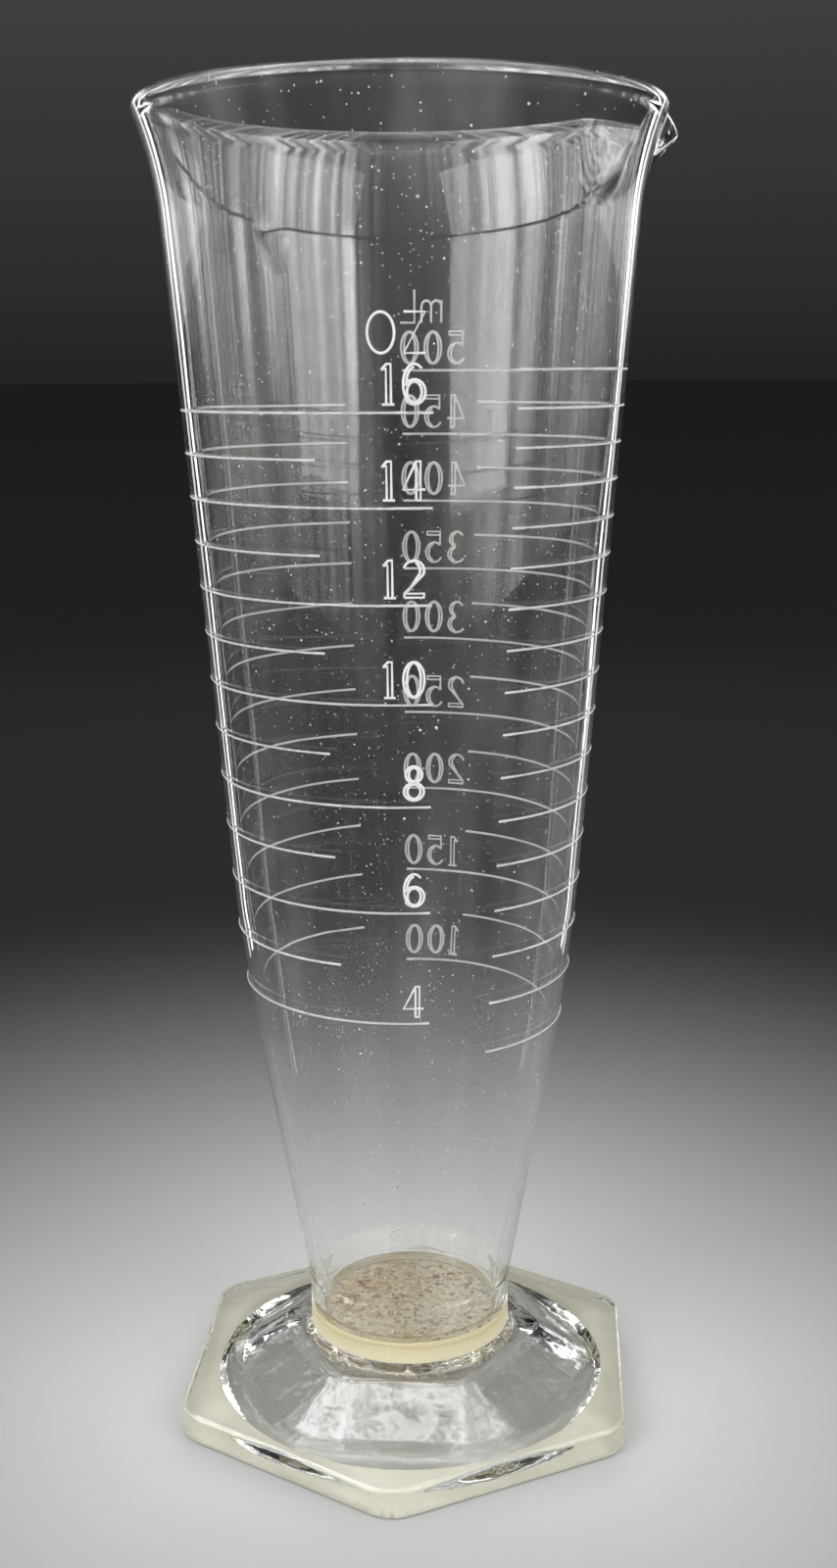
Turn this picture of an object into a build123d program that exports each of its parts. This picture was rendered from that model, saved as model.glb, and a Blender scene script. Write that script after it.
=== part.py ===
from build123d import *

import math
import os

# A conical glass graduate for liquids, 16 fluid ounces and 500 millilitres, on a
# pressed glass foot. Millimetres, +Z up. The origin is on the axis of the glass at
# the table, -Y is the side that is read in ounces and the spout is near +X.

# Cup: a blown and flared borosilicate cone, closed at the bottom.
wall = 2.5
floor_thickness = 5.0
floor_chamfer = 1.6
heel_radius = 20.5
heel_rise = 3.0
heel_chamfer = 2.4
heel_blend_radius = 10.0
lower_cone_height = 68.8
bend_radius = 31.8
bend_blend_radius = 260.0
upper_cone_height = 132.5
neck_radius = 41.1
flare_blend_radius = 54.0
flare_angle = 18.0
bead_radius = 1.7

# Spout: a lip pulled out of the rim, with an open trough in it.
spout_azimuth = 19.0
spout_reach = 6.5
spout_drop = 3.2
spout_root_width = 28.0
spout_root_depth = 12.5
spout_tip_width = 7.4
spout_tip_depth = 4.0
spout_flare = 0.36
spout_nose_radius = 2.2
spout_edge_rise = 0.6
trough_wall = 2.3
trough_tip_width = 3.8
trough_tip_depth = 1.5
trough_run_in = 6.0
trough_fall_in = 5.0
trough_run_out = 1.0

# Graduations: white enamel lines fired on the outside of the wall.
fluid_ounce = 29.5735
ounce_marks = range(4, 17)
millilitre_marks = range(100, 501, 25)
line_width = 0.45
line_thickness = 0.15
ounce_end_azimuth = 108.0
ounce_even_azimuth = 277.5
ounce_odd_azimuth = 249.0
millilitre_start_azimuth = -61.5
millilitre_even_azimuth = 90.5
millilitre_odd_azimuth = 67.0
line_seat = 0.01

# Cement that holds the cup on the foot: a grainy bed and a smooth collar.
cement_thickness = 2.5
bed_gap = 0.3

# Foot: a pressed plate with a six-sided boss, ground flat and hollow beneath.
foot_flats = 89.2
foot_azimuth = -94.3
foot_corner_radius = 8.0
plate_thickness = 6.2
plate_edge_radius = 1.2
plate_base_chamfer = 0.5
boss_turn = 30.0
boss_rise = 7.2
boss_base_radius = 39.5
boss_base_blend_radius = 1.5
boss_top_land = 2.0
boss_top_corner_radius = 4.0
boss_top_blend_radius = 1.2
seat_rise = 1.6
seat_margin = 0.3
seat_chamfer = 1.0
recess_radius = 40.0
recess_depth = 1.4
hollow_rise = 8.2
hollow_base_radius = 41.0
hollow_top_radius = 23.5
hollow_top_corner_radius = 3.0
hollow_top_blend_radius = 1.5

# How far cuts run past the rim, how many steps sample the wall, and what counts as level.
above_rim = 6.0
wall_samples = 600
level = 0.01

os.makedirs("parts", exist_ok=True)

# Places that follow from the sizes above.
boss_top = plate_thickness + boss_rise
seat_radius = heel_radius + seat_margin
boss_top_radius = (seat_radius + seat_chamfer + boss_top_land) / math.cos(math.pi / 6)
seat_height = boss_top + seat_rise
hollow_top = recess_depth + hollow_rise
cup_base = seat_height + cement_thickness
cup_floor = cup_base + floor_thickness
heel_top = cup_floor + heel_rise
bend_height = heel_top + lower_cone_height
neck_height = bend_height + upper_cone_height


def azimuth_plane(azimuth):
    """The upright plane through the axis whose x runs outwards at the azimuth."""
    outwards = Vector(1, 0, 0).rotate(Axis.Z, azimuth)
    return Plane(origin=(0, 0, 0), x_dir=outwards, z_dir=outwards.cross(Vector(0, 0, 1)))


def wall_side(inset, base, corner_chamfer):
    """One side of the wall as radius and height, from the axis out and up to the rim."""
    with BuildLine() as side:
        bottom = Polyline(
            (0, base),
            (heel_radius - inset - corner_chamfer, base),
            (heel_radius - inset, base + corner_chamfer),
        )
        cone = FilletPolyline(
            bottom @ 1,
            (heel_radius - inset, heel_top),
            (bend_radius - inset, bend_height),
            (neck_radius - inset, neck_height),
            radius=[heel_blend_radius, bend_blend_radius],
        )
        JernArc(start=cone @ 1, tangent=cone % 1, radius=flare_blend_radius, arc_size=-flare_angle)
    return side.wires()[0]


outer_side = wall_side(0, cup_base, heel_chamfer)
inner_side = wall_side(wall, cup_floor, floor_chamfer)

# The rim ends in a round bead, which is tangent to the outside of the flare.
lip_end = outer_side @ 1
bead_centre = lip_end + (outer_side % 1).rotate(Axis.Z, 90) * bead_radius
rim_radius = bead_centre.X + bead_radius
rim_height = bead_centre.Y + bead_radius


def sampled(wire):
    """Radius and height at even steps along one side of the wall."""
    points = [wire.position_at(step / wall_samples) for step in range(wall_samples + 1)]
    return [(point.X, point.Y) for point in points]


outer_samples = sampled(outer_side)
inner_samples = sampled(inner_side)


def mark_height(millilitres):
    """The height at which the cup holds this volume, from thin slices of the cavity."""
    wanted = millilitres * 1000.0
    held = 0.0
    for (r0, z0), (r1, z1) in zip(inner_samples, inner_samples[1:]):
        slice_volume = math.pi * (z1 - z0) * (r0 * r0 + r0 * r1 + r1 * r1) / 3.0
        if slice_volume > 0 and held + slice_volume >= wanted:
            return z0 + (z1 - z0) * (wanted - held) / slice_volume
        held += slice_volume
    raise ValueError("the cup is too small for the mark")


def outer_radius(height):
    """The outer radius of the wall at a height above its corner."""
    for (r0, z0), (r1, z1) in zip(outer_samples, outer_samples[1:]):
        if z0 <= height <= z1 and z1 > z0:
            return r0 + (r1 - r0) * (height - z0) / (z1 - z0)
    raise ValueError("the height is off the wall")


def spout_section(reach, width, depth, above):
    """A face across the spout: a round channel under its edges, and a box above them."""
    across = Vector(0, 1, 0).rotate(Axis.Z, spout_azimuth)
    outwards = Vector(1, 0, 0).rotate(Axis.Z, spout_azimuth)
    edge_height = root_top - spout_fall * (reach - spout_root) / (spout_tip - spout_root)
    plane = Plane(origin=outwards * reach + Vector(0, 0, edge_height), x_dir=across, z_dir=outwards)
    half = width / 2
    with BuildSketch(plane) as section:
        with BuildLine():
            channel = ThreePointArc((-half, 0), (0, -depth), (half, 0))
            Polyline(channel @ 1, (half, above), (-half, above), channel @ 0)
        make_face()
    return section.sketch


# The spout starts inside the wall, where its edges meet the rim, and ends at the tip.
spout_root = rim_radius - wall
spout_tip = rim_radius + spout_reach
root_top = rim_height - bead_radius
spout_fall = spout_drop - bead_radius


def spout_sections(root, tip, above, past_tip):
    """The spout's outside or its trough as three channels, narrow early like a pulled lip."""
    middle = [far + (near - far) * spout_flare for near, far in zip(root, tip)]
    reaches = [spout_root, (spout_root + spout_tip) / 2, spout_tip + past_tip]
    return [spout_section(reach, *size, above) for reach, size in zip(reaches, (root, middle, tip))]


def spout_reach_of(shape):
    """How far out a point of the spout lies, along the spout."""
    outwards = Vector(1, 0, 0).rotate(Axis.Z, spout_azimuth)
    return shape.center().dot(outwards)


# The cup. The cavity is cut last, so it also opens the root of the spout.
with BuildPart() as cup:
    with BuildSketch(Plane.XZ):
        with BuildLine():
            add(outer_side)
            Polyline(lip_end, bead_centre, (0, bead_centre.Y), (0, cup_base))
        make_face()
    revolve(axis=Axis.Z)
    with BuildSketch(Plane.XZ):
        with Locations((bead_centre.X, bead_centre.Y)):
            Circle(bead_radius)
    revolve(axis=Axis.Z)
    loft(spout_sections(
        root=(spout_root_width, spout_root_depth),
        tip=(spout_tip_width, spout_tip_depth),
        above=spout_edge_rise,
        past_tip=0,
    ))
    nose = cup.edges().filter_by(lambda edge: abs(spout_reach_of(edge) - spout_tip) < level).sort_by(Axis.Z)
    fillet(nose[:-1], radius=spout_nose_radius)
    trough = spout_sections(
        root=(spout_root_width - 2 * trough_wall, spout_root_depth - trough_wall),
        tip=(trough_tip_width, trough_tip_depth),
        above=above_rim,
        past_tip=trough_run_out,
    )
    loft(trough, mode=Mode.SUBTRACT)
    run_in = spout_section(
        reach=spout_root - trough_run_in,
        width=spout_root_width - 2 * trough_wall,
        depth=spout_root_depth - trough_wall + trough_fall_in,
        above=above_rim,
    )
    loft([run_in, trough[0]], mode=Mode.SUBTRACT)
    with BuildSketch(Plane.XZ):
        with BuildLine():
            add(inner_side)
            mouth = inner_side @ 1
            Polyline(mouth, (mouth.X, rim_height + above_rim), (0, rim_height + above_rim), (0, cup_floor))
        make_face()
    revolve(axis=Axis.Z, mode=Mode.SUBTRACT)
cup.part.label = "cup"
export_step(cup.part, "parts/cup.step")


def enamel_line(height, start, end):
    """One graduation: a raised line on the wall, with a ridge, that turns from start to end."""
    low = height - line_width / 2
    high = height + line_width / 2
    with BuildSketch(azimuth_plane(start)) as section:
        Polygon(
            (outer_radius(low) + line_seat, low),
            (outer_radius(height) + line_seat + line_thickness, height),
            (outer_radius(high) + line_seat, high),
            align=None,
        )
    revolve(section.sketch, axis=Axis.Z, revolution_arc=end - start)


# Even ounces are long and odd ounces short, so that each figure has room beside it.
with BuildPart() as ounce_lines:
    for ounces in ounce_marks:
        front = ounce_even_azimuth if ounces % 2 == 0 else ounce_odd_azimuth
        enamel_line(mark_height(ounces * fluid_ounce), ounce_end_azimuth, front)
ounce_lines.part.label = "ounce_lines"
export_step(ounce_lines.part, "parts/ounce_lines.step")

with BuildPart() as millilitre_lines:
    for millilitres in millilitre_marks:
        back = millilitre_even_azimuth if millilitres % 50 == 0 else millilitre_odd_azimuth
        enamel_line(mark_height(millilitres), millilitre_start_azimuth, back)
millilitre_lines.part.label = "millilitre_lines"
export_step(millilitre_lines.part, "parts/millilitre_lines.step")


# The cement bed is a flat disc between the foot and the cup's underside.
bed_radius = heel_radius - heel_chamfer
with BuildPart() as cement_bed:
    with BuildSketch(Plane.XY.offset(seat_height)):
        Circle(bed_radius - bed_gap)
    extrude(amount=cement_thickness)
cement_bed.part.label = "cement_bed"
export_step(cement_bed.part, "parts/cement_bed.step")


# The collar is the cement that was pressed out round the cup's bottom corner.
with BuildPart() as cement_collar:
    with BuildSketch(Plane.XZ):
        Polygon(
            (bed_radius, seat_height),
            (heel_radius, seat_height),
            (heel_radius, cup_base + heel_chamfer),
            (bed_radius, cup_base),
            align=None,
        )
    revolve(axis=Axis.Z)
cement_collar.part.label = "cement_collar"
export_step(cement_collar.part, "parts/cement_collar.step")


def hexagon(height, radius, corner_radius):
    """A six-sided face with rounded corners at a height, turned to the boss."""
    with BuildSketch(Plane.XY.offset(height).rotated((0, 0, foot_azimuth + boss_turn))) as outline:
        RegularPolygon(radius=radius, side_count=6)
        fillet(outline.vertices(), radius=corner_radius)
    return outline.sketch


def frustum(top, rise, top_radius, base_radius, corner_radius, mode=Mode.ADD):
    """A six-sided boss or hollow that widens downwards, so that its ridges soften towards the base."""
    flat_run = (base_radius - top_radius) * math.cos(math.pi / 6)
    extrude(
        hexagon(top, top_radius, corner_radius),
        amount=rise,
        dir=(0, 0, -1),
        taper=-math.degrees(math.atan(flat_run / rise)),
        mode=mode,
    )


def edges_at(part, height):
    """The edges of a part that lie level at a height."""
    return part.edges().filter_by_position(Axis.Z, height - level, height + level).filter_by(
        lambda edge: edge.bounding_box().size.Z < level
    )


# The foot. The boss and the hollow beneath it have their corners over the plate's flats.
with BuildPart() as foot:
    with BuildSketch(Plane.XY.rotated((0, 0, foot_azimuth))) as plate:
        RegularPolygon(radius=foot_flats / 2, side_count=6, major_radius=False)
        fillet(plate.vertices(), radius=foot_corner_radius)
    extrude(amount=plate_thickness)
    fillet(edges_at(foot, plate_thickness), radius=plate_edge_radius)
    chamfer(edges_at(foot, 0), length=plate_base_chamfer)
    frustum(boss_top, boss_rise, boss_top_radius, boss_base_radius, boss_top_corner_radius)
    base_edges = edges_at(foot, plate_thickness).filter_by(
        lambda edge: edge.center().X ** 2 + edge.center().Y ** 2 < boss_base_radius ** 2
    )
    fillet(base_edges, radius=boss_base_blend_radius)
    fillet(edges_at(foot, boss_top), radius=boss_top_blend_radius)
    with BuildSketch(Plane.XY.offset(boss_top)):
        Circle(seat_radius)
    extrude(amount=seat_rise)
    seat_edges = edges_at(foot, boss_top).filter_by(GeomType.CIRCLE).sort_by(lambda edge: edge.radius)
    chamfer(seat_edges[-1], length=seat_chamfer)
    with BuildSketch():
        Circle(recess_radius)
    extrude(amount=recess_depth, mode=Mode.SUBTRACT)
    frustum(hollow_top, hollow_rise, hollow_top_radius, hollow_base_radius, hollow_top_corner_radius, Mode.SUBTRACT)
    fillet(edges_at(foot, hollow_top), radius=hollow_top_blend_radius)
foot.part.label = "foot"
export_step(foot.part, "parts/foot.step")

for mark in (100, 250, 500):
    print(mark, "mL at", round(mark_height(mark), 2), "radius", round(outer_radius(mark_height(mark)), 2))
print("rim radius", round(rim_radius, 2), "rim height", round(rim_height, 2))
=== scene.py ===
import logging
import math
from dataclasses import dataclass, field
from enum import Enum
from typing import Any, Callable, Iterable

import bmesh
import bpy
from mathutils import Matrix, Vector


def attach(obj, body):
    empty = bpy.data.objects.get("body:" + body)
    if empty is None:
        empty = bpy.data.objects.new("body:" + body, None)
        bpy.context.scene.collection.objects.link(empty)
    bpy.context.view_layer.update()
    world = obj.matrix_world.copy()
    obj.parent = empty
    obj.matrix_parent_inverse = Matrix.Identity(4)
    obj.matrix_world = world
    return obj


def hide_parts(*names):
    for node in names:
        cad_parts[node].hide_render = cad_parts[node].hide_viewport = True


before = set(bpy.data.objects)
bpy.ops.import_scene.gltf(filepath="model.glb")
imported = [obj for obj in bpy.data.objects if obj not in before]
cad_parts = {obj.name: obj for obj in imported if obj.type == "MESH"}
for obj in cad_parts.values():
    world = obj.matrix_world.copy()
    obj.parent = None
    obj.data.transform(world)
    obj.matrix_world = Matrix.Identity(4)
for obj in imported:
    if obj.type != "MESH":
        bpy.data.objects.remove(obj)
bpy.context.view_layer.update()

LOG = logging.getLogger("graduate")
FULL_TURN = 2 * math.pi
BODY = "root"

Point = tuple[float, float]
Colour = tuple[float, float, float]


class Value:
    """A shader socket that takes part in sums as a number does."""

    def __init__(self, tree: bpy.types.NodeTree, socket: bpy.types.NodeSocket) -> None:
        """Wraps a socket.

        Args:
            tree: The node tree that new Math nodes go into.
            socket: The output socket that holds the number.
        """
        self.tree = tree
        self.socket = socket

    def _math(self, operation: str, first: Any, second: Any = None, clamp: bool = False) -> "Value":
        """Adds a Math node.

        Args:
            operation: The node's operation.
            first: A number or a Value.
            second: A number or a Value, or None where the operation takes one.
            clamp: Whether the result is held between 0 and 1.

        Returns:
            The node's result.
        """
        node = self.tree.nodes.new("ShaderNodeMath")
        node.operation = operation
        node.use_clamp = clamp
        for socket, given in zip(node.inputs, (first, second)):
            if isinstance(given, Value):
                self.tree.links.new(given.socket, socket)
            elif given is not None:
                socket.default_value = given
        return Value(self.tree, node.outputs[0])

    def __add__(self, other: Any) -> "Value":
        """This plus other."""
        return self._math("ADD", self, other)

    def __radd__(self, other: Any) -> "Value":
        """Other plus this."""
        return self._math("ADD", other, self)

    def __sub__(self, other: Any) -> "Value":
        """This less other."""
        return self._math("SUBTRACT", self, other)

    def __rsub__(self, other: Any) -> "Value":
        """Other less this."""
        return self._math("SUBTRACT", other, self)

    def __mul__(self, other: Any) -> "Value":
        """This times other."""
        return self._math("MULTIPLY", self, other)

    def __rmul__(self, other: Any) -> "Value":
        """Other times this."""
        return self._math("MULTIPLY", other, self)

    def __truediv__(self, other: Any) -> "Value":
        """This over other."""
        return self._math("DIVIDE", self, other)

    def __pow__(self, other: Any) -> "Value":
        """This to the power of other."""
        return self._math("POWER", self, other)

    def clamped(self) -> "Value":
        """This held between 0 and 1."""
        return self._math("ADD", self, 0.0, clamp=True)

    def above(self, low: float, high: float) -> "Value":
        """A mask that rises from 0 at low to 1 at high."""
        return ((self - low) / (high - low)).clamped()


class Nodes:
    """A node tree that is written as expressions."""

    def __init__(self, tree: bpy.types.NodeTree) -> None:
        """Empties a tree.

        Args:
            tree: The node tree.
        """
        self.tree = tree
        self.tree.nodes.clear()

    def node(self, kind: str, settings: dict[str, Any] | None = None, inputs: dict[Any, Any] | None = None) -> Any:
        """Adds a node.

        Args:
            kind: The node's type.
            settings: The node's own properties, which are set first. A ramp takes "stops".
            inputs: Numbers, colours, sockets or Values for its input sockets, by name or place.

        Returns:
            The node.
        """
        node = self.tree.nodes.new(kind)
        for name, given in (settings or {}).items():
            if name == "stops":
                self._set_stops(node.color_ramp, given)
            else:
                setattr(node, name, given)
        for name, given in (inputs or {}).items():
            self.feed(node.inputs[name], given)
        return node

    def feed(self, socket: bpy.types.NodeSocket, given: Any) -> None:
        """Sets or links one input socket.

        Args:
            socket: The input socket.
            given: A number, colour, output socket or Value.
        """
        if isinstance(given, Value):
            self.tree.links.new(given.socket, socket)
        elif isinstance(given, bpy.types.NodeSocket):
            self.tree.links.new(given, socket)
        elif isinstance(given, tuple) and len(given) == 3 and socket.type == "RGBA":
            socket.default_value = (*given, 1.0)
        else:
            socket.default_value = given

    @staticmethod
    def _set_stops(ramp: bpy.types.ColorRamp, stops: list[tuple[float, Colour]]) -> None:
        """Gives a ramp its stops.

        Args:
            ramp: The ramp.
            stops: Places from 0 to 1 with their colours.
        """
        while len(ramp.elements) < len(stops):
            ramp.elements.new(1.0)
        for element, (place, colour) in zip(ramp.elements, stops):
            element.position = place
            element.color = (*colour, 1.0)

    def value(self, socket: bpy.types.NodeSocket) -> Value:
        """A socket as a Value."""
        return Value(self.tree, socket)


class Shader(Nodes):
    """A material whose patterns follow the object's own place."""

    def __init__(self, name: str) -> None:
        """Makes an empty material.

        Args:
            name: The material's name.
        """
        self.material = bpy.data.materials.new(name)
        self.material.use_nodes = True
        super().__init__(self.material.node_tree)
        self.output = self.node("ShaderNodeOutputMaterial")
        self.place = self.node("ShaderNodeTexCoord").outputs["Object"]

    def axis(self, name: str, vector: Any = None) -> Value:
        """One coordinate of the object's own place.

        Args:
            name: X, Y or Z.
            vector: Another vector socket to take it from.

        Returns:
            The coordinate in metres.
        """
        return self.value(self.node("ShaderNodeSeparateXYZ", inputs={0: vector or self.place}).outputs[name])

    def noise(self, scale: float, detail: float = 2.0, roughness: float = 0.5, vector: Any = None) -> Value:
        """Soft noise from 0 to 1.

        Args:
            scale: Waves per metre.
            detail: How many finer layers it has.
            roughness: How strong the finer layers are.
            vector: Another place to read it at.

        Returns:
            The noise.
        """
        node = self.node(
            "ShaderNodeTexNoise",
            inputs={"Vector": vector or self.place, "Scale": scale, "Detail": detail, "Roughness": roughness},
        )
        return self.value(node.outputs[0])

    def cells(self, scale: float) -> Value:
        """The distance to the nearest of many scattered points.

        Args:
            scale: Points per metre.

        Returns:
            The distance in cells.
        """
        node = self.node("ShaderNodeTexVoronoi", inputs={"Vector": self.place, "Scale": scale})
        return self.value(node.outputs["Distance"])

    def grains(self, scale: float) -> Value:
        """A chance shade from 0 to 1 for each of many small grains.

        Args:
            scale: Grains per metre.

        Returns:
            The shade.
        """
        node = self.node("ShaderNodeTexVoronoi", inputs={"Vector": self.place, "Scale": scale})
        chance = self.node("ShaderNodeSeparateColor", inputs={0: node.outputs["Color"]})
        return self.value(chance.outputs[0])

    def specks(self, scale: float, size: float, share: float) -> Value:
        """Small round specks in some of many scattered cells.

        Args:
            scale: Cells per metre.
            size: The largest speck's radius in cells.
            share: The share of the cells that have one.

        Returns:
            The mask.
        """
        node = self.node("ShaderNodeTexVoronoi", inputs={"Vector": self.place, "Scale": scale})
        chance = self.node("ShaderNodeSeparateColor", inputs={0: node.outputs["Color"]})
        reach = (self.value(chance.outputs[0]) - (1.0 - share)) * (size / share)
        return ((reach - self.value(node.outputs["Distance"])) * (4.0 / size)).clamped()

    def stretched(self, scale: tuple[float, float, float]) -> Any:
        """The object's own place, stretched.

        Args:
            scale: The factor along each axis.

        Returns:
            The vector socket.
        """
        return self.node("ShaderNodeMapping", inputs={"Vector": self.place, "Scale": scale}).outputs[0]

    def near(self, point: tuple[float, float, float], reach: float) -> Value:
        """A mask that is 1 at a point and falls to 0.

        Args:
            point: The point in the object's own space.
            reach: How far the mask reaches, in metres.

        Returns:
            The mask.
        """
        gap = self.node("ShaderNodeVectorMath", {"operation": "DISTANCE"}, {0: self.place, 1: point})
        return (1.0 - self.value(gap.outputs["Value"]) / reach).clamped()

    def mix(self, mask: Any, first: Any, second: Any) -> Any:
        """Mixes two colours.

        Args:
            mask: How much of the second there is.
            first: A colour or a colour socket.
            second: A colour or a colour socket.

        Returns:
            The colour socket.
        """
        node = self.node("ShaderNodeMix", {"data_type": "RGBA"})
        self.feed(node.inputs[0], mask)
        self.feed(node.inputs[6], first)
        self.feed(node.inputs[7], second)
        return node.outputs[2]

    def bump(self, height: Value, distance: float, strength: float = 1.0, normal: Any = None) -> Any:
        """Turns a height into a normal.

        Args:
            height: The height from 0 to 1.
            distance: How high 1 is, in metres.
            strength: How much of it is used.
            normal: A normal to add it to.

        Returns:
            The normal socket.
        """
        inputs = {"Height": height, "Distance": distance, "Strength": strength}
        if normal is not None:
            inputs["Normal"] = normal
        return self.node("ShaderNodeBump", inputs=inputs).outputs[0]

    def principled(self, inputs: dict[str, Any]) -> Any:
        """Adds the main shader and links it to the surface.

        Args:
            inputs: Its sockets' values or links.

        Returns:
            The shader node.
        """
        node = self.node("ShaderNodeBsdfPrincipled", inputs=inputs)
        self.tree.links.new(node.outputs[0], self.output.inputs["Surface"])
        return node

    def layered(self, amount: Value, under: Any, over: Any) -> None:
        """Lays one shader over another and links both to the surface.

        Args:
            amount: How much of the upper one shows.
            under: The lower shader's node.
            over: The upper shader's node.
        """
        mix = self.node("ShaderNodeMixShader", inputs={0: amount, 1: under.outputs[0], 2: over.outputs[0]})
        self.tree.links.new(mix.outputs[0], self.output.inputs["Surface"])

    def absorb(self, colour: Colour, density: float) -> None:
        """Tints the inside by its depth.

        Args:
            colour: The colour that is let through.
            density: How strong the tint is, per metre.
        """
        node = self.node("ShaderNodeVolumeAbsorption", inputs={"Color": colour, "Density": density})
        self.tree.links.new(node.outputs[0], self.output.inputs["Volume"])


@dataclass(frozen=True)
class BlownGlass:
    """Clear borosilicate glass with slow waves, under a thin film of dust, drips and specks."""

    tint: Colour = (0.80, 0.86, 0.72)
    density: float = 4.0
    ior: float = 1.473
    wave_height: float = 0.00025
    drip_haze: float = 0.16
    dust_haze: float = 0.026
    speck_haze: float = 0.9
    dust: Colour = (0.86, 0.85, 0.80)

    def material(self) -> bpy.types.Material:
        """Builds the material.

        Returns:
            The material.
        """
        shader = Shader("blown_glass")
        drips = shader.noise(58.0, 3.0, 0.6, shader.stretched((1.0, 1.0, 0.06)))
        patches = shader.noise(19.0, 4.0, 0.6)
        streaks = drips.above(0.46, 0.72) * patches.above(0.34, 0.62)
        waves = shader.noise(30.0, 1.0, 0.4, shader.stretched((1.0, 1.0, 0.3)))
        specks = shader.specks(360.0, 0.11, 0.40) + shader.specks(1200.0, 0.22, 0.22)
        glass = shader.node("ShaderNodeBsdfPrincipled", inputs={
            "Base Color": (1.0, 1.0, 1.0),
            "Roughness": streaks * 0.05,
            "IOR": self.ior,
            "Transmission Weight": 1.0,
            "Normal": shader.bump(waves, self.wave_height),
        })
        film = shader.node("ShaderNodeBsdfPrincipled", inputs={"Base Color": self.dust, "Roughness": 0.9})
        amount = streaks * self.drip_haze + patches * self.dust_haze + specks * self.speck_haze
        shader.layered(amount.clamped(), glass, film)
        shader.absorb(self.tint, self.density)
        return shader.material


@dataclass(frozen=True)
class PressedGlass:
    """Thick soda glass from a mould, faintly yellow-green, with rippled faces."""

    tint: Colour = (0.74, 0.76, 0.42)
    density: float = 6.5
    ior: float = 1.51
    swell_height: float = 0.0009
    ripple_height: float = 0.00032
    frost: Colour = (0.93, 0.91, 0.80)
    frost_haze: float = 0.10
    boss_radius: float = 0.0395
    plate_top: float = 0.0062

    def material(self) -> bpy.types.Material:
        """Builds the material.

        Returns:
            The material.
        """
        shader = Shader("pressed_glass")
        swell = shader.noise(55.0, 1.0, 0.4)
        ripples = shader.noise(170.0, 2.0, 0.5)
        scuffs = shader.noise(420.0, 5.0, 0.65).above(0.60, 0.75)
        x = shader.axis("X")
        y = shader.axis("Y")
        height = shader.axis("Z")
        outside = ((x * x + y * y) ** 0.5).above(self.boss_radius - 0.001, self.boss_radius + 0.0005)
        level = height.above(self.plate_top - 0.0004, self.plate_top - 0.0002)
        plate = outside * level * (1.0 - height.above(self.plate_top + 0.0002, self.plate_top + 0.0006))
        clouds = shader.noise(70.0, 3.0, 0.6)
        glass = shader.node("ShaderNodeBsdfPrincipled", inputs={
            "Base Color": (1.0, 1.0, 1.0),
            "Roughness": 0.012 + scuffs * 0.12,
            "IOR": self.ior,
            "Transmission Weight": 1.0,
            "Normal": shader.bump(ripples, self.ripple_height, 1.0, shader.bump(swell, self.swell_height)),
        })
        film = shader.node("ShaderNodeBsdfPrincipled", inputs={"Base Color": self.frost, "Roughness": 0.8})
        shader.layered((plate * (self.frost_haze + clouds * 0.12) + scuffs * 0.06).clamped(), glass, film)
        shader.absorb(self.tint, self.density)
        return shader.material


@dataclass(frozen=True)
class GroundGlass:
    """The underside of the foot, ground flat: a white, frosted ring."""

    pale: Colour = (0.88, 0.86, 0.75)
    worn: Colour = (0.72, 0.70, 0.57)
    olive: Colour = (0.50, 0.49, 0.34)

    def material(self) -> bpy.types.Material:
        """Builds the material.

        Returns:
            The material.
        """
        shader = Shader("ground_glass")
        grain = shader.noise(2600.0, 3.0, 0.7)
        clouds = shader.noise(60.0, 3.0, 0.6)
        patches = shader.noise(32.0, 3.0, 0.6).above(0.54, 0.68)
        colour = shader.mix(clouds.above(0.35, 0.7) * 0.6 + grain * 0.3, self.pale, self.worn)
        shader.principled({
            "Base Color": shader.mix(patches * 0.4, colour, self.olive),
            "Roughness": 0.62 + grain * 0.2,
            "Normal": shader.bump(grain, 0.00005),
        })
        return shader.material


@dataclass(frozen=True)
class FiredEnamel:
    """White enamel that was printed on the glass and fired, a little thin in places, with a faint painted glow that
    brightens it.
    """

    white: Colour = (0.92, 0.92, 0.89)
    thin: Colour = (0.78, 0.79, 0.77)
    depth: float = 0.0006
    # Emission strength of a painted glow: the enamel shines faintly though it is no lamp.
    lift: float = 0.10

    def material(self) -> bpy.types.Material:
        """Builds the material.

        Returns:
            The material.
        """
        shader = Shader("fired_enamel")
        screen = shader.noise(1500.0, 2.0, 0.6)
        wear = shader.noise(160.0, 4.0, 0.7).above(0.52, 0.75)
        shader.principled({
            "Base Color": shader.mix(wear * 0.7 + screen.above(0.55, 0.8) * 0.3, self.white, self.thin),
            "Roughness": 0.38 + screen * 0.25,
            "Subsurface Weight": 0.85,
            "Subsurface Radius": (1.0, 1.0, 1.0),
            "Subsurface Scale": self.depth,
            # Emission here is painted light, a faint glow that brightens the white enamel.
            "Emission Color": (1.0, 1.0, 0.97),
            "Emission Strength": self.lift,
            "Normal": shader.bump(screen, 0.00002),
        })
        return shader.material


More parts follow.
